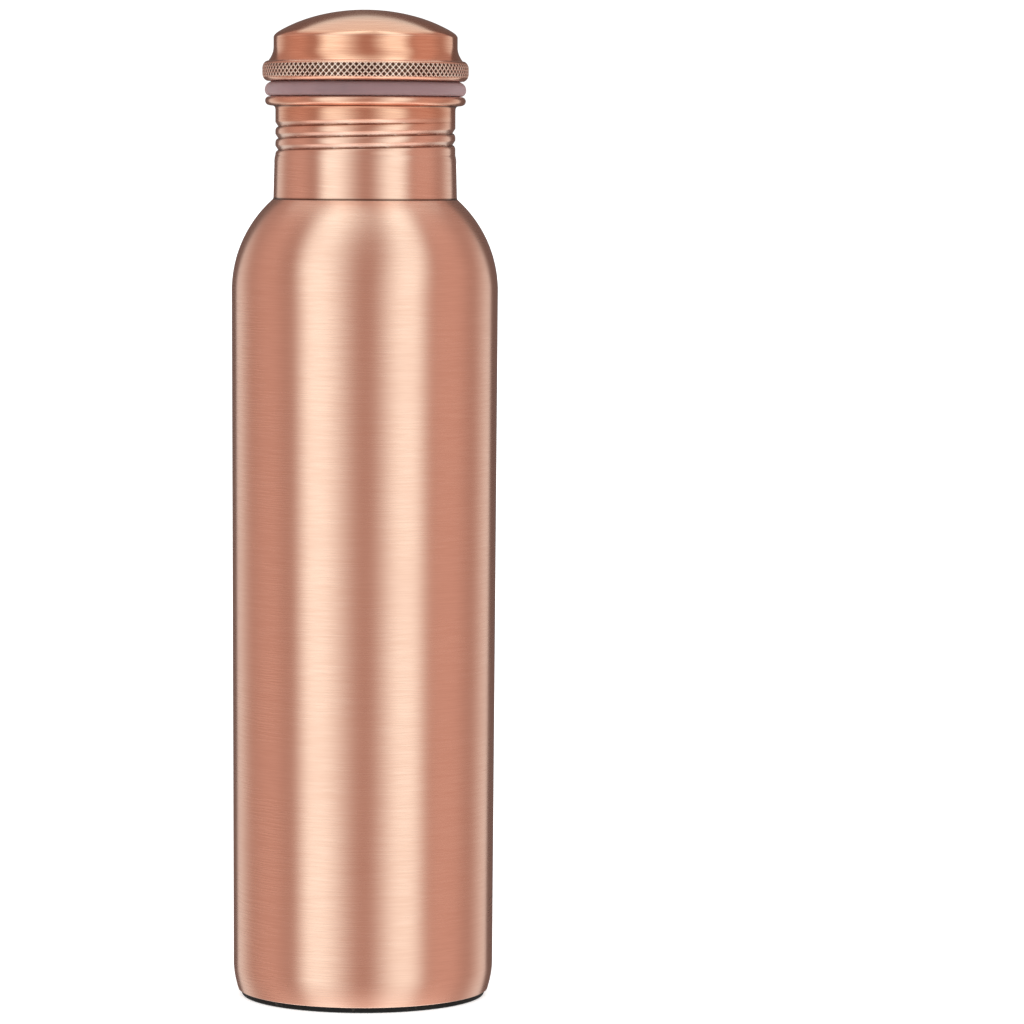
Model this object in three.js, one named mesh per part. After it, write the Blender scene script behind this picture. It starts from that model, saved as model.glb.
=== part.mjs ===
// A copper water bottle with a screw-in cap. The tapered body is spun from sheet and carries a
// brazed neck whose thread is rolled into the sheet, so the groove outside is a ridge inside. A
// recessed base plate closes the foot and holds a rubber ring. The cap is a domed shell on a
// knurled grip ring, with a threaded plug that screws down inside the neck and a silicone gasket
// that seals on the rolled rim.
// Millimetres, +Z up, origin on the standing surface at the centre of the foot.
import * as THREE from "three";

// Overall sizes
const bodyHeight = 199.75; // standing surface to the start of the shoulder
const bodyRadius = 37.5; // outside, at the start of the shoulder
const sheet = 0.8; // copper sheet of the body, neck, base, plug and cap

// Body
const wallTaper = 0.75; // the wall is this much slimmer at its foot
const shoulderRadius = 34.4;
const footCurveHeight = 7.7; // rise of the turned-in lower edge
const footCurveDepth = 1.35; // how far that edge turns in
const footCurveShare = 0.58; // share of the rise at which the curve's two tangents meet
const hemHeight = 4.7; // folded double thickness at the lower edge

// Foot and base
const footProud = 1.6; // the rubber shows this much below the copper edge
const footSeat = 1.3; // and is let into the base this far
const footWidth = 5;
const footClearance = 0.15;
const footEdge = 0.5;
const basePocketInset = 6.5; // from the base's edge to its recess
const baseStep = 2.4;
const baseCrown = 2;

// Neck, with heights measured down from the rim
const neckRadius = 25.3; // outside, over the thread crests
const neckFootFlare = 0.55; // the neck is this much wider at the shoulder
const neckLength = 28.67; // shoulder joint to rim
const neckStraightTop = 16.6; // depth below the rim at which the flare ends
const spigot = 1.2; // the neck reaches this far inside the shoulder
const rimHeight = 3.2; // depth below the rim at which the neck starts to roll outwards
const rimOverhang = 2.9; // the rim stands this far out from the neck
const rimCurl = 1.2;
const rimCurlHeight = 2.6;

// Rolled thread, right-handed, heights measured down from the rim
const threadPitch = 3.3;
const threadDepth = 0.85;
const grooveWidth = 2.7;
const threadLowEnd = 16.1; // depth of the neck thread's lower end below the rim
const threadTurns = 2.8;
const runOut = 0.3; // share of a turn over which an end fades
const threadStart = 0.4 * Math.PI; // direction of the lower end
const threadClearance = 0.35; // radial, plug to neck
const rowsPerPitch = 5.5;

// Gasket
const seatGap = 0.1;
const gasketHeight = 4.1;
const gasketOverhang = 0.1; // beyond the rim
const gasketCorner = 1;
const gasketClearance = 0.35;

// Cap
const gripHeight = 5.7;
const gripOverhang = 0.8; // beyond the rim
const gripCorner = 1.7; // the grip's section is rounded off by this much across
const gripShoulder = 2.2; // and this much in height
const flareHeight = 3.8;
const flareSweep = 1.45; // the cap widens by this much from its drum to the grip ring
const drumHeight = 3.5;
const crownRise = 7.05; // drum edge to apex
const crownHalfHeight = 22.9; // the crown is the top of an ellipsoid of this half-height
const crownCorner = 1.6;
const plugDepth = 19.8; // rim to the plug's lower end
const plugLead = 3; // smooth lead-in below the plug's thread
const plugThreadTop = 5.2; // depth below the rim at which the plug's grooves run out
const plugChamfer = 0.9;
const plugDiscFlange = 2.2;
const plugDiscSet = 0.5; // the end disc sits this far up inside the plug

// Derived sizes
const segments = 40;
const wallFootRadius = bodyRadius - wallTaper;
const edgeRadius = wallFootRadius - footCurveDepth;
const hemRadius = edgeRadius - sheet;
const neckFootRadius = neckRadius + neckFootFlare;
const neckBore = neckRadius - sheet;
const shoulderCentre = bodyRadius - shoulderRadius;
const shoulderReach = neckFootRadius - shoulderCentre;
const shoulderTop = bodyHeight + Math.sqrt(shoulderRadius ** 2 - shoulderReach ** 2);
const rimTop = shoulderTop + neckLength;
const rimRadius = neckRadius + rimOverhang;
const gasketRadius = rimRadius + gasketOverhang;
const gripRadius = rimRadius + gripOverhang;
const flareRadius = gripRadius - gripCorner;
const drumRadius = flareRadius - flareSweep;
const plugRadius = neckBore - threadClearance;
const plugRootRadius = plugRadius - threadDepth;
const gasketTop = seatGap + gasketHeight;
const gripBottom = gasketTop + seatGap;
const gripTop = gripBottom + gripHeight;

const copper = { color: 0xc48a70, roughness: 0.32, metalness: 1 };
const finishes = {
  body: copper,
  cap: { ...copper, color: 0xc08468 },
  lining: { ...copper, color: 0xb0755b, roughness: 0.4 },
  silicone: { color: 0x9a8a90, roughness: 0.45, metalness: 0 },
  rubber: { color: 0x141414, roughness: 0.75, metalness: 0 },
};

// A closed body turned about Z from an outline of [radius, height] points. An outline that
// doesn't touch the axis closes on itself. reshape may give each point a new radius.
function turned(name, outline, finish, reshape) {
  const onAxis = 1e-9;
  const points = outline.map(([x, y]) => new THREE.Vector2(Math.abs(x) < onAxis ? 0 : x, y));
  const last = outline.at(-1);
  if (outline[0][0] > onAxis || last[0] > onAxis) {
    points.push(points[0].clone());
  }
  const geometry = new THREE.LatheGeometry(points, segments);
  geometry.rotateX(Math.PI / 2);
  if (reshape) {
    const position = geometry.getAttribute("position");
    for (let i = 0; i < position.count; i++) {
      const x = position.getX(i);
      const y = position.getY(i);
      const radius = Math.hypot(x, y);
      const scale = reshape(radius, Math.atan2(y, x), position.getZ(i)) / radius;
      position.setXY(i, x * scale, y * scale);
    }
  }
  geometry.computeVertexNormals();
  const mesh = new THREE.Mesh(geometry, new THREE.MeshStandardMaterial(finishes[finish]));
  mesh.name = name;
  return mesh;
}

// Points of an ellipse's arc about [radius, height], from one angle in degrees to another.
function arc(centre, halfWidth, halfHeight, from, to, steps) {
  return Array.from({ length: steps + 1 }, (_, i) => {
    const angle = ((from + ((to - from) * i) / steps) * Math.PI) / 180;
    return [centre[0] + halfWidth * Math.cos(angle), centre[1] + halfHeight * Math.sin(angle)];
  });
}

// Points of a curve that leaves the first point towards the corner and ends at the last point.
function bend(first, corner, last, steps) {
  const ends = [first, corner, last].map((point) => new THREE.Vector2(...point));
  return new THREE.QuadraticBezierCurve(...ends).getPoints(steps).map((point) => [point.x, point.y]);
}

// Evenly spaced points on a straight line, both ends included.
function line(start, end, spacing) {
  const steps = Math.ceil(Math.hypot(end[0] - start[0], end[1] - start[1]) / spacing);
  return Array.from({ length: steps + 1 }, (_, i) => [
    start[0] + ((end[0] - start[0]) * i) / steps,
    start[1] + ((end[1] - start[1]) * i) / steps,
  ]);
}

function smooth(share) {
  const s = Math.min(Math.max(share, 0), 1);
  return s * s * (3 - 2 * s);
}

// Depth of the rolled groove at a direction and a height above the rim. strength gives how deep
// the groove is at a number of turns along it, counted from the neck thread's lower end.
function grooveDepth(angle, height, strength) {
  const share = (angle - threadStart) / (2 * Math.PI);
  const rise = (height + threadLowEnd) / threadPitch;
  const along = share + Math.round(rise - share);
  const offset = Math.abs(threadPitch * (rise - along));
  const across = Math.cos(Math.PI * Math.min(offset / grooveWidth, 0.5)) ** 2;
  return threadDepth * across * strength(along);
}

const neckStrength = (along) => smooth(along / runOut) * smooth((threadTurns - along) / runOut);
const plugEnd = (threadLowEnd - plugThreadTop) / threadPitch;
const plugStrength = (along) => smooth((plugEnd - along) / runOut);

function bodyShell() {
  const centre = [shoulderCentre, bodyHeight];
  const inside = shoulderRadius - sheet;
  const topAngle = (Math.acos(shoulderReach / shoulderRadius) * 180) / Math.PI;
  const insideAngle = (Math.acos(shoulderReach / inside) * 180) / Math.PI;
  const footTop = footProud + footCurveHeight;
  const footCorner = footProud + footCurveHeight * footCurveShare;
  const hemTop = footProud + hemHeight;
  return turned(
    "body_shell",
    [
      [hemRadius, footProud],
      ...bend([edgeRadius, footProud], [wallFootRadius, footCorner], [wallFootRadius, footTop], 5),
      ...arc(centre, shoulderRadius, shoulderRadius, 0, topAngle, 8),
      ...arc(centre, inside, inside, insideAngle, 0, 8),
      [wallFootRadius - sheet, footTop],
      [wallFootRadius - sheet, hemTop + sheet],
      [hemRadius, hemTop],
    ],
    "body",
  );
}

function basePlate() {
  const under = footProud + footSeat;
  const step = under + baseStep;
  const pocket = hemRadius - basePocketInset;
  const crownEdge = pocket - baseStep / 2;
  return turned(
    "base_plate",
    [
      ...arc([0, step], crownEdge, baseCrown, 90, 0, 5),
      [pocket, under],
      [hemRadius, under],
      [hemRadius, footProud + hemHeight],
      [hemRadius - sheet, footProud + hemHeight],
      [hemRadius - sheet, under + sheet],
      [pocket + sheet / 2, under + sheet],
      ...arc([0, step + sheet], crownEdge + sheet / 2, baseCrown, 0, 90, 5),
    ],
    "lining",
  );
}

function footRing() {
  const outer = hemRadius - footClearance;
  const inner = outer - footWidth;
  const top = footProud + footSeat;
  return turned(
    "foot_ring",
    [
      [inner + footEdge, 0],
      ...arc([outer - footEdge, footEdge], footEdge, footEdge, -90, 0, 3),
      [outer, top],
      [inner, top],
      [inner, footEdge],
    ],
    "rubber",
  );
}

// The thread lies where both faces are straight, and dips both by the same amount.
function neckCollar() {
  const foot = -neckLength;
  const spacing = threadPitch / rowsPerPitch;
  const rimCentre = [rimRadius - rimCurl, -rimCurlHeight / 2];
  return turned(
    "neck_collar",
    [
      [neckFootRadius, foot - sheet - spigot],
      [neckFootRadius, foot],
      [neckRadius + neckFootFlare / 2, -neckStraightTop - neckFootFlare],
      ...line([neckRadius, -neckStraightTop], [neckRadius, -rimHeight], spacing),
      ...arc(rimCentre, rimCurl, rimCurlHeight / 2, -75, 90, 7),
      [neckBore, 0],
      ...line([neckBore, -rimHeight], [neckBore, -neckStraightTop], spacing),
      [neckFootRadius - sheet, foot],
      [neckFootRadius - sheet, foot - sheet - spigot],
    ],
    "body",
    (radius, angle, height) => radius - grooveDepth(angle, height, neckStrength),
  );
}

// The crests are cut away to the root wherever the groove passes, and over the lead-in.
function threadedPlug() {
  const bottom = -plugDepth;
  const threadBottom = bottom + plugLead;
  const spacing = threadPitch / rowsPerPitch;
  const crestBottom = threadBottom + plugChamfer;
  const bore = plugRootRadius - sheet;
  return turned(
    "threaded_plug",
    [
      [bore, bottom],
      [plugRootRadius, bottom],
      [plugRootRadius, threadBottom],
      ...line([plugRadius, crestBottom], [plugRadius, -plugThreadTop + grooveWidth / 2], spacing),
      [plugRadius, gripTop],
      [bore, gripTop],
    ],
    "lining",
    (radius, angle, height) => {
      const root = plugRadius - grooveDepth(angle, height, plugStrength);
      return radius > bore + sheet / 2 ? Math.min(radius, root) : radius;
    },
  );
}

function plugDisc() {
  const bottom = -plugDepth + plugDiscSet;
  const outer = plugRootRadius - sheet;
  return turned(
    "plug_disc",
    [
      [0, bottom],
      [outer, bottom],
      [outer, bottom + plugDiscFlange],
      [outer - sheet, bottom + plugDiscFlange],
      [outer - sheet, bottom + sheet],
      [0, bottom + sheet],
    ],
    "lining",
  );
}

function sealingGasket() {
  const inner = plugRadius + gasketClearance;
  const middle = [gasketRadius - gasketCorner, seatGap + gasketHeight / 2];
  return turned(
    "sealing_gasket",
    [
      [inner, seatGap],
      ...arc(middle, gasketCorner, gasketHeight / 2, -90, 90, 8),
      [inner, gasketTop],
    ],
    "silicone",
  );
}

function gripRing() {
  const edge = gripRadius - gripCorner;
  return turned(
    "grip_ring",
    [
      [plugRadius, gripBottom],
      ...arc([edge, gripBottom + gripShoulder], gripCorner, gripShoulder, -90, 0, 4),
      ...arc([edge, gripTop - gripShoulder], gripCorner, gripShoulder, 0, 90, 4),
      [plugRadius, gripTop],
    ],
    "cap",
  );
}

// Outline of the cap from its lower edge to the apex, set in by the thickness of the sheet or not.
function capOutline(inset) {
  const radius = drumRadius - inset;
  const drumBottom = gripTop + flareHeight;
  const drumTop = drumBottom + drumHeight - inset / 2;
  const flareCorner = drumBottom - flareHeight / 2;
  const halfHeight = crownHalfHeight - inset;
  const centre = [0, drumBottom + drumHeight + crownRise - crownHalfHeight];
  const startHeight = drumTop - centre[1];
  const halfWidth = radius / Math.sqrt(1 - (startHeight / halfHeight) ** 2);
  const cornerAngle = (Math.acos((radius - crownCorner) / halfWidth) * 180) / Math.PI;
  const dome = arc(centre, halfWidth, halfHeight, cornerAngle, 90, 8);
  return [
    ...bend([flareRadius - inset, gripTop], [radius, flareCorner], [radius, drumBottom], 4),
    ...bend([radius, drumTop - crownCorner / 2], [radius, drumTop], dome[0], 4),
    ...dome.slice(1),
  ];
}

function capShell() {
  return turned("cap_shell", [...capOutline(sheet).reverse(), ...capOutline(0)], "cap");
}

const vessel = new THREE.Group();
vessel.add(bodyShell(), basePlate(), footRing());
const neck = neckCollar();
neck.position.z = rimTop;
vessel.add(neck);

const closure = new THREE.Group();
closure.position.z = rimTop;
closure.add(sealingGasket(), gripRing(), capShell(), threadedPlug(), plugDisc());

const group = new THREE.Group();
group.add(vessel, closure);

export default group;
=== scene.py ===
# The copper water bottle's looks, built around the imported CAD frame. Each CAD node is replaced by a
# fine turned piece in the same place. Lengths are millimetres unless a name says otherwise, and
# lathe() turns them into metres.
import math

import bpy
import numpy as np
from mathutils import Matrix, Vector


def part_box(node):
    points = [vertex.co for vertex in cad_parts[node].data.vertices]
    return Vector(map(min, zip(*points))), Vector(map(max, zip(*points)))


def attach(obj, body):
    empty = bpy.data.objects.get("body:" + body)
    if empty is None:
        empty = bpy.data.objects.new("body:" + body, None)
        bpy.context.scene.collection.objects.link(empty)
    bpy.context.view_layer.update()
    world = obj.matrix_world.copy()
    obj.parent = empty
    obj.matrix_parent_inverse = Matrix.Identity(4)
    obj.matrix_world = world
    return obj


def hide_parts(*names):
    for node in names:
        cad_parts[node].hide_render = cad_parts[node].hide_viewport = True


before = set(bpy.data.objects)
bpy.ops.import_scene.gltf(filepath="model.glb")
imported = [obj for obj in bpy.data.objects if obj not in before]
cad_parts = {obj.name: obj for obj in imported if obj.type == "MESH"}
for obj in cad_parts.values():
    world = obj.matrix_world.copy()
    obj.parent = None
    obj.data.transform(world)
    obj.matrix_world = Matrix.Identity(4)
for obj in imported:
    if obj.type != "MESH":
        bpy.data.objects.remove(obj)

MM = 0.001

# Sizes shared with the CAD
SHEET = 0.8
SHOULDER_RADIUS = 34.4
WALL_TAPER = 0.75
FOOT_CURVE_HEIGHT = 7.7
FOOT_CURVE_DEPTH = 1.35
FOOT_CURVE_SHARE = 0.58  # share of the rise at which the curve's two tangents meet
HEM_HEIGHT = 4.7
BASE_POCKET_INSET = 6.5
BASE_STEP = 2.4
BASE_CROWN = 2
FOOT_WIDTH = 5
NECK_RADIUS = 25.3
NECK_FOOT_RADIUS = 25.85
NECK_STRAIGHT_TOP = 16.6  # depth below the rim at which the neck starts to flare
RIM_HEIGHT = 3.2
RIM_CURL = 1.2
RIM_CURL_HEIGHT = 2.6
THREAD_PITCH = 3.3
THREAD_DEPTH = 0.85
GROOVE_WIDTH = 2.7
THREAD_START = 0.4 * math.pi  # direction of the lower end
THREAD_LOW_END = 16.1
THREAD_TURNS = 2.8
RUN_OUT = 0.3
PLUG_THREAD_TOP = 5.2
PLUG_LEAD = 3
PLUG_CHAMFER = 0.9
GASKET_CLEARANCE = 0.35  # radial, plug to gasket
GRIP_CORNER = 1.7
GRIP_SHOULDER = 2.2
FLARE_HEIGHT = 3.8
FLARE_SWEEP = 1.45
DRUM_HEIGHT = 3.5
CROWN_HALF_HEIGHT = 22.9
CROWN_CORNER = 1.6

# Fine detail that only the looks have
BRAZE_REACH = 0.3  # the fillet at the neck's foot
BRAZE_RISE = 0.6
FLANK_HEIGHT = 1.3  # the thread groove's upper flank slopes in over this height
BEAD_SHOULDER = 1.25  # and the bead below it rounds out over this height
RIM_FILLET = 1.2
RIM_BULGE = 1.15  # depth below the rim at which its bead is widest
RIM_TUCK = 2.1  # the bead's underside runs in this far
KNURL_CELLS = 106
KNURL_CELL_HEIGHT = 1.78
KNURL_DEPTH = 0.22
KNURL_LOW = 0.95  # plain lip below the knurl
KNURL_HIGH = 0.65
FOOT_LIP = 0.35
RING_NIBS = 360  # moulded round the foot ring
RING_NIB_DEPTH = 0.05
RING_GROOVE_DEPTH = 0.4  # in the foot ring's underside
GASKET_CORNER = 1.5
GASKET_TOP_CORNER = 1.8
GASKET_WIDEST = 0.42  # share of the gasket's height at which it is widest
DISC_CROWN = 0.35  # the plug's end disc is dished inwards by this much
FINE_SEGMENTS = 384
KNURL_SEGMENTS = KNURL_CELLS * 12

# Camera, with its place in metres and its angles in degrees
CAMERA_DISTANCE = 1.41
CAMERA_HEIGHT = 0.24115
CAMERA_TILT = 4.21  # below the horizon
CAMERA_YAW = 1.697  # to the right of the bottle
CAMERA_ROLL = 0.29
CAMERA_LENS = 175.7
SENSOR_WIDTH = 36


def span(node):
    """A CAD node's lowest and highest level and its outer radius."""
    low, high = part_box(node)
    return low.z / MM, high.z / MM, high.x / MM


# ---------------------------------------------------------------- outlines

def arc(centre, width, height, start, end, steps=20):
    """Points of an ellipse's arc, between two angles in degrees."""
    angles = np.radians(np.linspace(start, end, steps + 1))
    return [(centre[0] + width * math.cos(a), centre[1] + height * math.sin(a)) for a in angles]


def bend(first, corner, last, steps=8):
    """Points of a curve that leaves the first point towards the corner and ends at the last."""
    first, corner, last = map(np.array, (first, corner, last))
    shares = np.linspace(0, 1, steps + 1)
    return [tuple((1 - s) ** 2 * first + 2 * s * (1 - s) * corner + s * s * last) for s in shares]


def rounded(outline):
    """An outline whose points of [radius, height, reach] are corners rounded over that reach."""
    points = []
    for i, point in enumerate(outline):
        if len(point) == 2:
            points.append(point)
            continue
        here = np.array(point[:2])
        ends = []
        for neighbour in (outline[i - 1], outline[(i + 1) % len(outline)]):
            away = np.array(neighbour[:2]) - here
            length = np.linalg.norm(away)
            ends.append(here + away * min(point[2] / length, 0.5))
        points += bend(ends[0], here, ends[1], 6)
    return points


def dense(points, spacing, closed):
    """The same outline with no stretch longer than the spacing."""
    result = []
    for i, point in enumerate(points):
        result.append(point)
        if i + 1 == len(points) and not closed:
            break
        after = points[(i + 1) % len(points)]
        steps = math.ceil(math.dist(point, after) / spacing)
        for k in range(1, steps):
            share = k / steps
            result.append((
                point[0] + (after[0] - point[0]) * share,
                point[1] + (after[1] - point[1]) * share,
            ))
    return np.array(result)


def smooth(share):
    s = np.clip(share, 0, 1)
    return s * s * (3 - 2 * s)


def outward_turn(outline, closed):
    """How strongly the outline turns outwards at each point, from 0 to 1."""
    before = outline - np.roll(outline, 1, axis=0)
    after = np.roll(outline, -1, axis=0) - outline
    turn = before[:, 0] * after[:, 1] - before[:, 1] * after[:, 0]
    lengths = np.linalg.norm(before, axis=1) * np.linalg.norm(after, axis=1)
    reach = (np.linalg.norm(before, axis=1) + np.linalg.norm(after, axis=1)) / 2
    bending = np.arcsin(np.clip(turn / np.maximum(lengths, 1e-9), -1, 1)) / np.maximum(reach, 1e-6)
    if not closed:
        bending[[0, -1]] = 0
    return np.clip(bending / 2.5, 0, 1)


# ---------------------------------------------------------------- meshes

def lathe(name, outline, segments, spacing=4, relief=None, lining=None):
    """A piece turned about Z from an anticlockwise outline of radius and height.

    An outline that starts and ends on the axis is closed there, and any other closes on itself.
    relief gives the radial cut at each point, how much painted shade and patina it gets in creases and
    hollows and how much paler it is for wear and painted highlight, each from 0 to 1. lining gives how far
    inside the vessel each outline point is, from 0 to 1.
    """
    closed = outline[0][0] > 1e-6
    rows = dense(rounded(outline), spacing, closed)
    count = len(rows)
    angles = np.linspace(0, 2 * math.pi, segments, endpoint=False)
    radius = np.repeat(rows[:, :1], segments, axis=1)
    height = np.repeat(rows[:, 1:], segments, axis=1)
    angle = np.repeat(angles[None, :], count, axis=0)
    # paler where the outline turns outwards, and where relief adds wear and painted highlight
    wear_and_highlight = np.repeat(outward_turn(rows, closed)[:, None], segments, axis=1)
    # painted shade and patina in creases and hollows, none unless relief gives it
    shade_and_patina = np.zeros_like(radius)
    if relief:
        cut, shade_and_patina, pale_share = relief(radius, angle, height)
        radius = radius - cut
        wear_and_highlight = np.maximum(wear_and_highlight, pale_share)
    points = np.stack((radius * np.cos(angle), radius * np.sin(angle), height), axis=-1)
    run = np.concatenate(([0], np.cumsum(np.linalg.norm(np.diff(rows, axis=0), axis=1))))
    inside = lining(rows) if lining else np.zeros(count)
    values = {
        "run": np.repeat(run[:, None], segments, axis=1),
        "shade_and_patina": shade_and_patina,
        "wear_and_highlight": wear_and_highlight,
        "lining": np.repeat(inside[:, None], segments, axis=1),
    }

    first, last = (0, count) if closed else (1, count - 1)
    grid = np.arange((last - first) * segments).reshape(last - first, segments)
    lower = grid if closed else grid[:-1]
    upper = np.roll(grid, -1, axis=0) if closed else grid[1:]
    quads = np.stack((lower, np.roll(lower, -1, 1), np.roll(upper, -1, 1), upper), axis=-1)
    faces = quads.reshape(-1, 4).tolist()
    vertices = points[first:last].reshape(-1, 3)
    attributes = {key: value[first:last].reshape(-1) for key, value in values.items()}
    if not closed:
        start, end = len(vertices), len(vertices) + 1
        vertices = np.vstack((vertices, points[0, 0], points[-1, 0]))
        attributes = {k: np.append(v, (values[k][0, 0], values[k][-1, 0])) for k, v in attributes.items()}
        faces += [(start, b, a) for a, b in zip(grid[0], np.roll(grid[0], -1))]
        faces += [(end, a, b) for a, b in zip(grid[-1], np.roll(grid[-1], -1))]

    mesh = bpy.data.meshes.new(name)
    mesh.from_pydata((vertices * MM).tolist(), [], faces)
    for key, value in attributes.items():
        mesh.attributes.new(key, "FLOAT", "POINT").data.foreach_set("value", value.astype(np.float32))
    mesh.shade_smooth()
    mesh.set_sharp_from_angle(angle=math.radians(38))
    piece = bpy.data.objects.new(name, mesh)
    bpy.context.collection.objects.link(piece)
    return piece


def place(piece, node, body, material):
    """Puts a piece in a CAD node's stead."""
    piece.data.materials.append(material)
    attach(piece, body)
    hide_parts(node)
    return piece


# ---------------------------------------------------------------- material nodes

class Nodes:
    """Adds nodes to a material's or a world's tree."""

    def __init__(self, tree):
        self.tree = tree
        tree.nodes.clear()

    def add(self, kind, inputs=None, **settings):
        node = self.tree.nodes.new(kind)
        for key, value in settings.items():
            setattr(node, key, value)
        for key, value in (inputs or {}).items():
            self.put(value, node.inputs[key])
        return node

    def put(self, value, socket):
        if isinstance(value, bpy.types.NodeSocket):
            self.tree.links.new(value, socket)
        else:
            socket.default_value = value

    def math(self, operation, *values):
        node = self.add("ShaderNodeMath", operation=operation)
        for value, socket in zip(values, node.inputs):
            self.put(value, socket)
        return node.outputs[0]

    def step(self, value, start, end, low=0.0, high=1.0):
        """A smooth step between two values of the input."""
        ranges = {"Value": value, "From Min": start, "From Max": end, "To Min": low, "To Max": high}
        return self.add("ShaderNodeMapRange", ranges, interpolation_type="SMOOTHSTEP").outputs[0]

    def mix(self, factor, first, second):
        node = self.add("ShaderNodeMix", data_type="RGBA")
        for value, index in ((factor, 0), (first, 6), (second, 7)):
            self.put(value, node.inputs[index])
        return node.outputs[2]

    def value(self, name):
        return self.add("ShaderNodeAttribute", attribute_name=name).outputs["Fac"]


def new_material(name):
    material = bpy.data.materials.new(name)
    material.use_nodes = True
    return material, Nodes(material.node_tree)


def shade(nodes, shader):
    nodes.add("ShaderNodeOutputMaterial", {"Surface": shader.outputs[0]})


def colour(red, green, blue):
    return (red, green, blue, 1)


def noise(nodes, vector, scale, detail=2.0, rough=0.5):
    inputs = {"Vector": vector, "Scale": scale, "Detail": detail, "Roughness": rough}
    return nodes.add("ShaderNodeTexNoise", inputs).outputs["Fac"]


def stretched(nodes, along, across, slant=0.0):
    """Coordinates for marks that run round the piece, along and across in millimetres."""
    position = nodes.add("ShaderNodeTexCoord").outputs["Object"]
    parts = nodes.add("ShaderNodeSeparateXYZ", {"Vector": position})
    x = nodes.math("MULTIPLY", parts.outputs[0], 1 / MM / along)
    y = nodes.math("MULTIPLY", parts.outputs[1], 1 / MM / along)
    run = nodes.value("run")
    if slant:
        run = nodes.math("ADD", run, nodes.math("MULTIPLY", parts.outputs[0], slant / MM))
    z = nodes.math("DIVIDE", run, across)
    return nodes.add("ShaderNodeCombineXYZ", {"X": x, "Y": y, "Z": z}).outputs[0]


def brushed_metal(
    name, base, dark, roughness=0.28, anisotropy=0.88, slant=0.0, streak=0.5, upper=None, pale_share=0.35
):
    """Copper brushed round the piece, with painted shade and patina in creases and hollows, and paler copper
    on outward edges, thread flanks and knurl ridges for wear and painted highlight.

    upper gives another pair of colours and the level, in millimetres, at which they take over.
    """
    material, nodes = new_material(name)
    hairs = noise(nodes, stretched(nodes, *HAIR_SIZE, slant), 1.0, 3.0, 0.6)
    lines = noise(nodes, stretched(nodes, *LINE_SIZE, slant), 1.0, 2.0, 0.5)
    position = nodes.add("ShaderNodeTexCoord").outputs["Object"]
    clouds = noise(nodes, position, 28.0, 3.0, 0.55)

    streaks = nodes.math("ADD", nodes.math("MULTIPLY", hairs, 0.65), nodes.math("MULTIPLY", lines, 0.35))
    marks = nodes.step(streaks, 0.5 - streak / 4, 0.5 + streak / 4)
    surface = nodes.mix(marks, dark, base)
    if upper:
        level = nodes.add("ShaderNodeSeparateXYZ", {"Vector": position}).outputs[2]
        reach = nodes.step(level, (upper[2] - 4) * MM, (upper[2] + 4) * MM)
        surface = nodes.mix(reach, surface, nodes.mix(marks, upper[1], upper[0]))
    surface = nodes.mix(nodes.step(clouds, 0.35, 0.75, 0.0, 0.3), surface, dark)
    # paler copper for wear and painted highlight
    surface = nodes.mix(nodes.math("MULTIPLY", nodes.value("wear_and_highlight"), pale_share), surface, PALE_COPPER)
    # near-black painted shade, with some patina, in creases and hollows
    surface = nodes.mix(nodes.math("MULTIPLY", nodes.value("shade_and_patina"), SHADE_AND_PATINA_SHARE), surface, SHADE_AND_TARNISH)
    lining = nodes.value("lining")
    surface = nodes.mix(nodes.math("MULTIPLY", lining, LINING_SHARE), surface, LINING_COPPER)

    rough = nodes.math("ADD", roughness - 0.05, nodes.math("MULTIPLY", marks, -0.03))
    rough = nodes.math("ADD", rough, nodes.math("MULTIPLY", clouds, 0.13))
    rough = nodes.math("ADD", rough, nodes.math("MULTIPLY", lining, 0.12))
    bump = nodes.add(
        "ShaderNodeBump", {"Strength": BRUSH_STRENGTH, "Distance": BRUSH_DEPTH * MM, "Height": streaks}
    ).outputs[0]
    tangent = nodes.add("ShaderNodeTangent", direction_type="RADIAL", axis="Z").outputs[0]
    shader = nodes.add("ShaderNodeBsdfPrincipled", {
        "Base Color": surface,
        "Metallic": 1.0,
        "Roughness": rough,
        "Anisotropic": anisotropy,
        "Anisotropic Rotation": 0.25,
        "Tangent": tangent,
        "Normal": bump,
    })
    shade(nodes, shader)
    return material


def silicone():
    material, nodes = new_material("silicone")
    position = nodes.add("ShaderNodeTexCoord").outputs["Object"]
    clouds = noise(nodes, position, 60.0, 3.0, 0.6)
    specks = noise(nodes, position, 2600.0, 2.0, 0.6)
    surface = nodes.mix(nodes.step(clouds, 0.3, 0.7), colour(0.26, 0.155, 0.16), colour(0.205, 0.13, 0.135))
    # painted sheen: the gasket turns paler at glancing angles
    facing = nodes.add("ShaderNodeLayerWeight", {"Blend": 0.35}).outputs["Facing"]
    surface = nodes.mix(nodes.math("MULTIPLY", facing, 0.8), surface, colour(0.36, 0.235, 0.235))
    rough = nodes.math("ADD", 0.38, nodes.math("MULTIPLY", specks, 0.16))
    bump = nodes.add("ShaderNodeBump", {"Strength": 0.2, "Distance": 0.00004, "Height": specks}).outputs[0]
    shader = nodes.add("ShaderNodeBsdfPrincipled", {
        "Base Color": surface,
        "Roughness": rough,
        "Subsurface Weight": 0.35,
        "Subsurface Radius": (0.9, 0.6, 0.6),
        "Subsurface Scale": 0.002,
        "Specular IOR Level": 0.35,
        "IOR": 1.41,
        "Normal": bump,
    })
    shade(nodes, shader)
    return material


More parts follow.
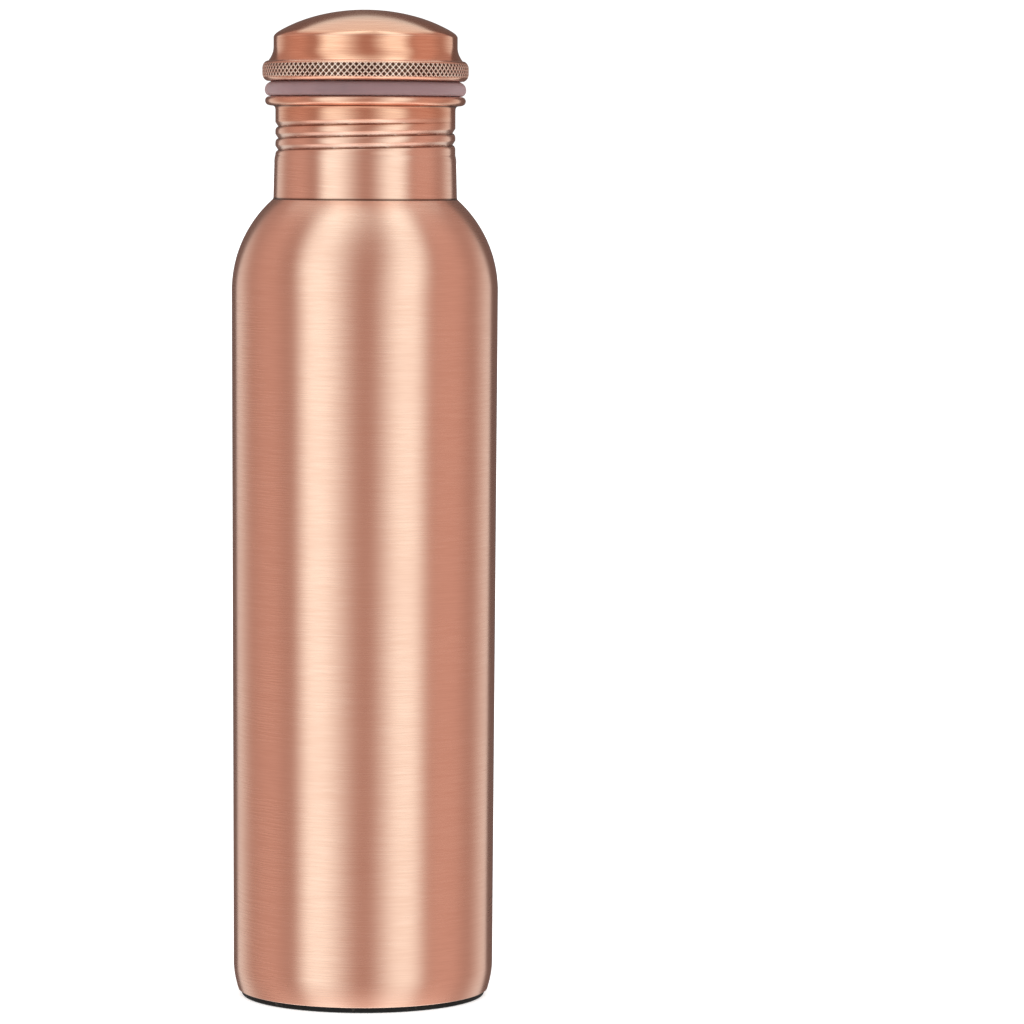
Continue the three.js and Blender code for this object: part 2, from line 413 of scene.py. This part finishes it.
def rubber():
    material, nodes = new_material("rubber")
    position = nodes.add("ShaderNodeTexCoord").outputs["Object"]
    grain = noise(nodes, position, 1500.0, 3.0, 0.7)
    dust = noise(nodes, position, 420.0, 4.0, 0.7)
    surface = nodes.mix(nodes.step(dust, 0.58, 0.74), colour(0.006, 0.005, 0.005), colour(0.05, 0.04, 0.035))
    rough = nodes.math("ADD", 0.5, nodes.math("MULTIPLY", grain, 0.3))
    bump = nodes.add("ShaderNodeBump", {"Strength": 0.5, "Distance": 0.00015, "Height": grain}).outputs[0]
    shader = nodes.add("ShaderNodeBsdfPrincipled", {
        "Base Color": surface,
        "Roughness": rough,
        "Specular IOR Level": 0.3,
        "Normal": bump,
    })
    shade(nodes, shader)
    return material


BODY_COPPER = colour(0.96, 0.545, 0.42)
BODY_DARK = colour(0.89, 0.48, 0.36)
CAP_COPPER = colour(0.93, 0.445, 0.295)
CAP_DARK = colour(0.84, 0.365, 0.235)
# paler copper for outward edges and for painted highlights on thread flanks and knurl ridges
PALE_COPPER = colour(0.97, 0.76, 0.67)
LINING_COPPER = colour(0.42, 0.15, 0.085)
# the near-black of creases and hollows: painted shade, with some patina
SHADE_AND_TARNISH = colour(0.07, 0.025, 0.014)
SHADE_AND_PATINA_SHARE = 0.97  # how much of the painted shade and tarnish the deepest creases and hollows get
LINING_SHARE = 0.5
BRUSH_STRENGTH = 0.17
BRUSH_DEPTH = 0.02
HAIR_SIZE = (7, 0.14)  # length and width of the finest brush marks
LINE_SIZE = (15, 0.42)  # and of the broader ones


# ---------------------------------------------------------------- the vessel

def body_shell(material):
    low, high, radius = span("body_shell")
    shoulder = radius - SHOULDER_RADIUS
    reach = NECK_FOOT_RADIUS - shoulder
    rise = math.sqrt(SHOULDER_RADIUS ** 2 - reach ** 2)
    centre = (shoulder, high - rise)
    inside = SHOULDER_RADIUS - SHEET
    top_angle = math.degrees(math.acos(reach / SHOULDER_RADIUS))
    inside_angle = math.degrees(math.acos(reach / inside))
    wall = radius - WALL_TAPER
    edge = wall - FOOT_CURVE_DEPTH
    hem = edge - SHEET
    foot_top = low + FOOT_CURVE_HEIGHT
    foot_corner = low + FOOT_CURVE_HEIGHT * FOOT_CURVE_SHARE
    outline = [
        (hem, low, 0.2),
        (edge, low, FOOT_LIP),
        *bend((edge + 0.1, low + FOOT_LIP), (wall, foot_corner), (wall, foot_top), 24),
        *arc(centre, SHOULDER_RADIUS, SHOULDER_RADIUS, 0, top_angle, 40),
        *arc(centre, inside, inside, inside_angle, 0, 30),
        (wall - SHEET, foot_top),
        (wall - SHEET, low + HEM_HEIGHT + SHEET, 0.4),
        (hem, low + HEM_HEIGHT, 0.3),
    ]
    halfway = SHEET * 0.42

    def lining(rows):
        wall_here = np.interp(rows[:, 1], (low, foot_top, centre[1]), (hem, wall, radius))
        arch = shoulder + np.sqrt(np.maximum(SHOULDER_RADIUS ** 2 - (rows[:, 1] - centre[1]) ** 2, 0))
        outer = np.where(rows[:, 1] > centre[1], arch, wall_here)
        return (rows[:, 0] < outer - halfway).astype(float) * (rows[:, 1] > low + 1)

    piece = lathe("spun_body", outline, FINE_SEGMENTS, 4, lining=lining)
    return place(piece, "body_shell", "bottle", material)


def base_plate(material):
    low, high, radius = span("base_plate")
    pocket = radius - BASE_POCKET_INSET
    step = low + BASE_STEP
    crown_edge = pocket - BASE_STEP / 2
    outline = [
        *arc((0, step), crown_edge, BASE_CROWN, 90, 0, 24),
        (pocket, low, 0.5),
        (radius, low, 0.5),
        (radius, high, 0.2),
        (radius - SHEET, high, 0.2),
        (radius - SHEET, low + SHEET, 0.4),
        (pocket + SHEET / 2, low + SHEET, 0.4),
        *arc((0, step + SHEET), crown_edge + SHEET / 2, BASE_CROWN, 0, 90, 24),
    ]
    piece = lathe("recessed_base", outline, 256, 2)
    return place(piece, "base_plate", "bottle", material)


def foot_ring(material):
    low, high, radius = span("foot_ring")
    inner = radius - FOOT_WIDTH
    middle = (inner + radius) / 2

    def moulding(r, angle, height):
        nibs = np.cos(angle * RING_NIBS / 2) ** 8 * smooth((r - radius + 0.2) / 0.2)
        return RING_NIB_DEPTH * nibs, nibs * 0, nibs * 0

    outline = [
        (inner, low, 0.5),
        (middle - 0.8, low, 0.2),
        (middle - 0.5, low + RING_GROOVE_DEPTH, 0.2),
        (middle + 0.5, low + RING_GROOVE_DEPTH, 0.2),
        (middle + 0.8, low, 0.2),
        (radius, low, 0.6),
        (radius, high, 0.3),
        (inner, high, 0.3),
    ]
    piece = lathe("rubber_foot_ring", outline, 720, 1, relief=moulding)
    return place(piece, "foot_ring", "bottle", material)


def groove_offset(angle, height, rim):
    """How far along the neck's thread a point is, in turns, and its height above the groove."""
    share = (angle - THREAD_START) / (2 * math.pi)
    rise = (height - rim + THREAD_LOW_END) / THREAD_PITCH
    along = share + np.round(rise - share)
    return along, THREAD_PITCH * (rise - along)


def neck_collar(material):
    low, rim, rim_radius = span("neck_collar")
    shoulder_top = span("body_shell")[1]
    foot_bore = NECK_FOOT_RADIUS - SHEET
    bore = NECK_RADIUS - SHEET
    bulge = rim - RIM_BULGE
    underside = rim - RIM_CURL_HEIGHT
    straight = rim - NECK_STRAIGHT_TOP
    outline = [
        (NECK_FOOT_RADIUS, low, 0.2),
        (NECK_FOOT_RADIUS, shoulder_top - 0.1),
        (NECK_FOOT_RADIUS + BRAZE_REACH, shoulder_top - BRAZE_REACH * 0.85),
        *bend(
            (NECK_FOOT_RADIUS + BRAZE_REACH, shoulder_top - BRAZE_REACH * 0.8),
            (NECK_FOOT_RADIUS, shoulder_top - 0.05),
            (NECK_FOOT_RADIUS - 0.02, shoulder_top + BRAZE_RISE),
            8,
        ),
        *bend(
            (NECK_RADIUS + 0.28, straight - 1.6),
            (NECK_RADIUS + 0.22, straight - 0.4),
            (NECK_RADIUS, straight + 0.2),
            8,
        ),
        *bend(
            (NECK_RADIUS, underside - RIM_FILLET),
            (NECK_RADIUS + 0.05, underside - 0.06),
            (rim_radius - RIM_TUCK, underside - 0.02),
            8,
        ),
        *bend((rim_radius - RIM_TUCK, underside), (rim_radius, underside), (rim_radius, bulge), 12)[1:],
        *arc((rim_radius - RIM_CURL, bulge), RIM_CURL, RIM_BULGE, 0, 88, 10)[1:],
        (bore, rim, 0.7),
        (bore, straight, 1.0),
        (foot_bore, shoulder_top, 0.5),
        (foot_bore, low, 0.2),
    ]

    def thread(radius, angle, height):
        along, offset = groove_offset(angle, height, rim)
        strength = smooth(along / RUN_OUT) * smooth((THREAD_TURNS - along) / RUN_OUT)
        within = (height < rim - RIM_HEIGHT) & (height > straight - 1)
        outside = radius > NECK_RADIUS - SHEET / 2
        ridge = np.cos(math.pi * np.minimum(np.abs(offset) / GROOVE_WIDTH, 0.5)) ** 2
        flank = np.clip(1 - offset / FLANK_HEIGHT, 0, 1)
        shoulder = np.clip(1 + offset / BEAD_SHOULDER, 0, 1)
        bead = 1 - np.sqrt(1 - shoulder ** 2)
        groove = np.where(offset > 0, flank, bead)
        depth = np.where(outside, groove, ridge) * strength * within
        # painted shade: dark lines in each thread crease, at the neck's foot and under the rim's bead
        crease = np.exp(-((offset + 0.12) / 0.16) ** 2) * strength * within
        foot = np.exp(-((height - shoulder_top) / 0.3) ** 2)
        tuck = np.exp(-((height - rim + RIM_CURL_HEIGHT + 0.12) / 0.2) ** 2)
        dark = np.maximum(np.maximum(crease, foot), tuck)
        # painted highlight: a paler band on each groove's upper flank
        flank_highlight = smooth(offset / 0.2) * smooth((FLANK_HEIGHT - offset) / 0.5) * strength * within
        return THREAD_DEPTH * depth, np.where(outside, dark, 0), np.where(outside, flank_highlight, 0)

    def lining(rows):
        return (rows[:, 0] < NECK_RADIUS - SHEET * 0.6).astype(float) * (rows[:, 1] < rim - 1.5)

    piece = lathe("threaded_neck", outline, 512, 0.16, relief=thread, lining=lining)
    return place(piece, "neck_collar", "bottle", material)


# ---------------------------------------------------------------- the closure

def sealing_gasket(material):
    low, high, radius = span("sealing_gasket")
    inner = span("threaded_plug")[2] + GASKET_CLEARANCE
    middle = low + (high - low) * GASKET_WIDEST
    waist = radius - GASKET_CORNER
    outline = [
        (inner, low, 0.3),
        *arc((waist, middle), GASKET_CORNER, middle - low, -90, 0, 12),
        *bend((radius, middle), (radius, high - 0.7), (radius - GASKET_TOP_CORNER, high), 14)[1:],
        (inner, high, 0.3),
    ]
    piece = lathe("silicone_gasket", outline, 256, 1)
    return place(piece, "sealing_gasket", "gasket", material)


def grip_ring(material):
    low, high, radius = span("grip_ring")
    bore = span("threaded_plug")[2]
    edge = radius - GRIP_CORNER
    outline = [
        (bore, low, 0.2),
        *arc((edge, low + GRIP_SHOULDER), GRIP_CORNER, GRIP_SHOULDER, -90, 0, 18),
        *arc((edge, high - GRIP_SHOULDER), GRIP_CORNER, GRIP_SHOULDER, 0, 84, 18),
        (bore, high, 0.2),
    ]

    def knurl(r, angle, height):
        turn = angle * KNURL_CELLS / (2 * math.pi)
        climb = (height - low) / KNURL_CELL_HEIGHT
        pits = np.ones_like(r)
        for lean in (1, -1):
            cell = turn + lean * climb
            away = np.abs(cell - np.round(cell))
            pits = pits * smooth((away - 0.07) / 0.12)
        zone = smooth((height - low - KNURL_LOW) / 0.35) * smooth((high - KNURL_HIGH - height) / 0.35)
        outside = smooth((r - edge) / 0.5)
        depth = pits * zone * outside
        # the pits get painted shade and patina; the ridges between them are paler, for wear and painted
        # highlight
        return KNURL_DEPTH * depth, depth, (1 - pits) * zone * outside

    piece = lathe("knurled_grip", outline, KNURL_SEGMENTS, 0.13, relief=knurl)
    return place(piece, "grip_ring", "cap", material)


def cap_outline(inset):
    """The cap from its lower edge to the apex, set in by the sheet's thickness or not."""
    low, high, flare_radius = span("cap_shell")
    radius = flare_radius - FLARE_SWEEP - inset
    drum_bottom = low + FLARE_HEIGHT
    drum_top = drum_bottom + DRUM_HEIGHT - inset / 2
    flare_corner = drum_bottom - FLARE_HEIGHT / 2
    half_height = CROWN_HALF_HEIGHT - inset
    centre = (0, high - CROWN_HALF_HEIGHT)
    start = drum_top - centre[1]
    half_width = radius / math.sqrt(1 - (start / half_height) ** 2)
    corner = math.degrees(math.acos((radius - CROWN_CORNER) / half_width))
    dome = arc(centre, half_width, half_height, corner, 90, 40)
    return [
        *bend((flare_radius - inset, low), (radius, flare_corner), (radius, drum_bottom), 16),
        *bend((radius, drum_top - CROWN_CORNER / 2), (radius, drum_top), dome[0], 10),
        *dome[1:],
    ]


def cap_shell(material):
    outline = [*cap_outline(SHEET)[::-1], *cap_outline(0)]
    piece = lathe("domed_cap", outline, FINE_SEGMENTS, 1.5)
    return place(piece, "cap_shell", "cap", material)


def threaded_plug(material):
    low, high, radius = span("threaded_plug")
    rim = span("neck_collar")[1]
    root = radius - THREAD_DEPTH
    bore = root - SHEET
    thread_low = low + PLUG_LEAD
    thread_end = (THREAD_LOW_END - PLUG_THREAD_TOP) / THREAD_PITCH
    outline = [
        (bore, low, 0.2),
        (root, low, 0.5),
        (root, thread_low, 0.2),
        (radius, thread_low + PLUG_CHAMFER, 0.3),
        (radius, high, 0.1),
        (bore, high, 0.1),
    ]

    def thread(r, angle, height):
        along, offset = groove_offset(angle, height, rim)
        ridge = np.cos(math.pi * np.minimum(np.abs(offset) / GROOVE_WIDTH, 0.5)) ** 2
        floor = radius - THREAD_DEPTH * ridge * smooth((thread_end - along) / RUN_OUT)
        outside = (r > bore + SHEET / 2) & (height < rim)
        cut = np.where(outside, np.maximum(r - floor, 0), 0)
        # painted shade and patina in the thread's roots
        return cut, smooth(cut / THREAD_DEPTH - 0.2), cut * 0

    piece = lathe("plug_thread", outline, 384, 0.2, relief=thread)
    return place(piece, "threaded_plug", "cap", material)


def plug_disc(material):
    low, high, radius = span("plug_disc")
    outline = [
        (0, low + DISC_CROWN),
        (radius * 0.3, low + 0.33),
        (radius * 0.6, low + 0.2),
        (radius - 2.2, low, 0.8),
        (radius, low, 0.5),
        (radius, high, 0.2),
        (radius - SHEET, high, 0.2),
        (radius - SHEET, low + SHEET, 0.4),
        (radius * 0.5, low + SHEET + 0.2),
        (0, low + SHEET + DISC_CROWN),
    ]
    piece = lathe("plug_end", outline, 256, 1)
    return place(piece, "plug_disc", "cap", material)


# ---------------------------------------------------------------- stage

# Lights round the bottle: outer edge, full from, full to, inner edge in degrees from the camera's
# side with right positive, and brightness. An edge beyond 180 degrees either way is never
# reached, so the back lights run on to straight behind.
SOFTBOXES = (
    (-67, -46, -40, -1, 1.2),
    (2, 33, 40, 62, 1.14),
)
SIDE_FILLS = (
    (-125, -92, -88, -68, 0.14),
    (48, 72, 84, 108, 0.17),
)
BACK_LIGHTS = (
    (-400, -399, -142, -112, 0.42),
    (106, 136, 399, 400, 0.45),
)
BACK_TOP = (0.15, 0.42)  # the back lights fade out between these levels
LOW_FADE = (-0.12, -0.45)
LOW_SHARE = 0.5  # what the softboxes keep below that fade
HIGH_FADE = (0.2, 0.8)
HIGH_SHARE = 0.72  # and above this one
ROOM = 0.47  # brightness between the lights
OVERHEAD = 0.72  # brightness of a light above and behind
OVERHEAD_EDGE = (0.48, 0.55)  # it starts between these levels
OVERHEAD_RISE = 0.3  # its edge climbs by this much to the sides
OVERHEAD_FRONT = (-0.8, 0.0)  # it fades out towards the camera
OVERHEAD_SIDE = (0.3, 0.65)  # and to either side
OVERHEAD_SHADE = 0.6  # share of the room's light that it hides
OVERHEAD_WARMTH = 0.22
TABLE_GLOW = 0.5
TABLE_EDGE = (-0.6, -0.8)  # the light from below starts between these levels
LEAN = 0.33  # the softboxes lean over the bottle
SIDEWAYS = 0.08  # and towards the left
LIGHT_TINT = (0.67, 1.07, 1.12, 1)
ROOM_TINT = (1.0, 0.77, 0.69, 1)
FLAG_CENTRE = 3.5  # degrees to the right of straight behind
FLAG_WIDTH = 35.5  # degrees either side of its centre
FLAG_SPREAD = 22  # the flag is this much wider straight up
FLAG_HEIGHT = 40  # degrees above and below the horizon
FLAG = 0.16  # its brightness
SURROUND = 1.15  # the white that the eye and the floor see
FLOOR_GLOW = 0.45
FLOOR_REACH = 60.0  # metres


def panel(nodes, azimuth, edges):
    start, full_from, full_to, end, brightness = edges
    rising = nodes.step(azimuth, start, full_from)
    falling = nodes.step(azimuth, full_to, end, 1.0, 0.0)
    return nodes.math("MULTIPLY", nodes.math("MULTIPLY", rising, falling), brightness)


def panels(nodes, azimuth, rows, light):
    for edges in rows:
        light = nodes.math("ADD", panel(nodes, azimuth, edges), light)
    return light


def studio():
    """A white surround for the eye and the floor, and softboxes and a black flag for reflections."""
    world = bpy.data.worlds.new("studio")
    bpy.context.scene.world = world
    world.use_nodes = True
    nodes = Nodes(world.node_tree)
    direction = nodes.add("ShaderNodeTexCoord").outputs["Generated"]
    x, y, z = nodes.add("ShaderNodeSeparateXYZ", {"Vector": direction}).outputs
    above = nodes.math("MAXIMUM", z, 0.0)
    towards = nodes.math("SUBTRACT", nodes.math("MULTIPLY", above, LEAN), y)
    across = nodes.math("SUBTRACT", x, nodes.math("MULTIPLY", above, SIDEWAYS))
    azimuth = nodes.math("DEGREES", nodes.math("ARCTAN2", across, towards))
    off_centre = nodes.math("ABSOLUTE", x)

    side = nodes.math("DEGREES", nodes.math("ARCTAN2", x, y))
    width = nodes.math("MULTIPLY_ADD", above, FLAG_SPREAD, FLAG_WIDTH)
    side = nodes.math("DIVIDE", nodes.math("SUBTRACT", side, FLAG_CENTRE), width)
    level = nodes.math("DIVIDE", nodes.math("DEGREES", nodes.math("ARCSINE", z)), FLAG_HEIGHT)
    squares = nodes.math("ADD", nodes.math("MULTIPLY", side, side), nodes.math("MULTIPLY", level, level))
    open_sky = nodes.step(squares, 0.9, 1.1)

    overhead_front = nodes.step(y, *OVERHEAD_FRONT)
    overhead_middle = nodes.step(off_centre, *OVERHEAD_SIDE, 1.0, 0.0)
    overhead = nodes.math("MULTIPLY", overhead_front, overhead_middle)
    edge = nodes.math("SUBTRACT", z, nodes.math("MULTIPLY", off_centre, OVERHEAD_RISE))
    overhead = nodes.math("MULTIPLY", overhead, nodes.step(edge, *OVERHEAD_EDGE))
    room = panels(nodes, azimuth, SIDE_FILLS, ROOM)
    room = nodes.math("MULTIPLY_ADD", nodes.math("SUBTRACT", room, FLAG), open_sky, FLAG)
    room = nodes.math("MULTIPLY", room, nodes.math("MULTIPLY_ADD", overhead, -OVERHEAD_SHADE, 1.0))
    room = nodes.math("MULTIPLY_ADD", overhead, OVERHEAD_WARMTH, room)

    behind = panels(nodes, azimuth, BACK_LIGHTS, 0.0)
    behind = nodes.math("MULTIPLY", behind, nodes.step(z, *BACK_TOP, 1.0, 0.0))
    behind = nodes.math("MULTIPLY", behind, open_sky)
    front = panels(nodes, azimuth, SOFTBOXES, 0.0)
    front = nodes.math("MULTIPLY", front, nodes.step(z, *LOW_FADE, 1.0, LOW_SHARE))
    front = nodes.math("MULTIPLY", front, nodes.step(z, *HIGH_FADE, 1.0, HIGH_SHARE))
    light = nodes.math("ADD", behind, front)
    light = nodes.math("MULTIPLY_ADD", overhead, OVERHEAD, light)
    table = nodes.step(z, *TABLE_EDGE, 0.0, TABLE_GLOW)
    light = nodes.math("ADD", light, table)
    room = nodes.math("ADD", room, table)

    lit = nodes.add("ShaderNodeBackground", {"Color": LIGHT_TINT, "Strength": light})
    dim = nodes.add("ShaderNodeBackground", {"Color": ROOM_TINT, "Strength": room})
    seen = nodes.add("ShaderNodeAddShader")
    nodes.put(lit.outputs[0], seen.inputs[0])
    nodes.put(dim.outputs[0], seen.inputs[1])
    white = nodes.add("ShaderNodeBackground", {"Color": colour(1, 1, 1), "Strength": SURROUND})
    glossy = nodes.add("ShaderNodeLightPath").outputs["Is Glossy Ray"]
    both = nodes.add("ShaderNodeMixShader")
    for value, socket in zip((glossy, white.outputs[0], seen.outputs[0]), both.inputs):
        nodes.put(value, socket)
    nodes.add("ShaderNodeOutputWorld", {"Surface": both.outputs[0]})


def floor():
    material, nodes = new_material("floor_paper")
    position = nodes.add("ShaderNodeTexCoord").outputs["Object"]
    fibres = noise(nodes, position, 180.0, 3.0, 0.6)
    surface = nodes.mix(nodes.step(fibres, 0.3, 0.7), colour(0.93, 0.93, 0.93), colour(0.9, 0.9, 0.9))
    shade(nodes, nodes.add("ShaderNodeBsdfPrincipled", {
        "Base Color": surface,
        "Roughness": 0.9,
        "Specular IOR Level": 0.0,
        "Emission Color": colour(1, 1, 1),
        "Emission Strength": FLOOR_GLOW,
    }))
    reach = FLOOR_REACH
    mesh = bpy.data.meshes.new("floor")
    corners = [(-reach, -reach, 0), (reach, -reach, 0), (reach, reach, 0), (-reach, reach, 0)]
    mesh.from_pydata(corners, [], [(0, 1, 2, 3)])
    mesh.materials.append(material)
    plane = bpy.data.objects.new("floor", mesh)
    bpy.context.collection.objects.link(plane)
    plane.visible_glossy = False


def camera():
    data = bpy.data.cameras.new("camera")
    data.lens = CAMERA_LENS
    data.sensor_width = SENSOR_WIDTH
    view = bpy.data.objects.new("camera", data)
    bpy.context.collection.objects.link(view)
    turn = Matrix.Rotation(math.radians(-CAMERA_YAW), 4, "Z")
    tilt = Matrix.Rotation(math.radians(90 - CAMERA_TILT), 4, "X")
    roll = Matrix.Rotation(math.radians(CAMERA_ROLL), 4, "Z")
    at = Matrix.Translation(Vector((0, -CAMERA_DISTANCE, CAMERA_HEIGHT)))
    view.matrix_world = at @ turn @ tilt @ roll
    bpy.context.scene.camera = view


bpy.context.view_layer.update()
bpy.context.scene.view_settings.view_transform = "Standard"
camera()
studio()
floor()

thread_middle = span("neck_collar")[1] - THREAD_LOW_END / 2
body_copper = brushed_metal("body_copper", BODY_COPPER, BODY_DARK)
neck_copper = brushed_metal(
    "neck_copper", BODY_COPPER, BODY_DARK, slant=0.06, streak=0.4, pale_share=0.4,
    upper=(CAP_COPPER, CAP_DARK, thread_middle),
)
cap_copper = brushed_metal("cap_copper", CAP_COPPER, CAP_DARK, roughness=0.17, anisotropy=0.6)
grip_copper = brushed_metal("grip_copper", CAP_COPPER, CAP_DARK, roughness=0.24, pale_share=0.85)
plug_copper = brushed_metal("plug_copper", CAP_COPPER, CAP_DARK, roughness=0.36, anisotropy=0.6)

body_shell(body_copper)
neck_collar(neck_copper)
base_plate(body_copper)
foot_ring(rubber())
sealing_gasket(silicone())
grip_ring(grip_copper)
cap_shell(cap_copper)
threaded_plug(plug_copper)
plug_disc(plug_copper)
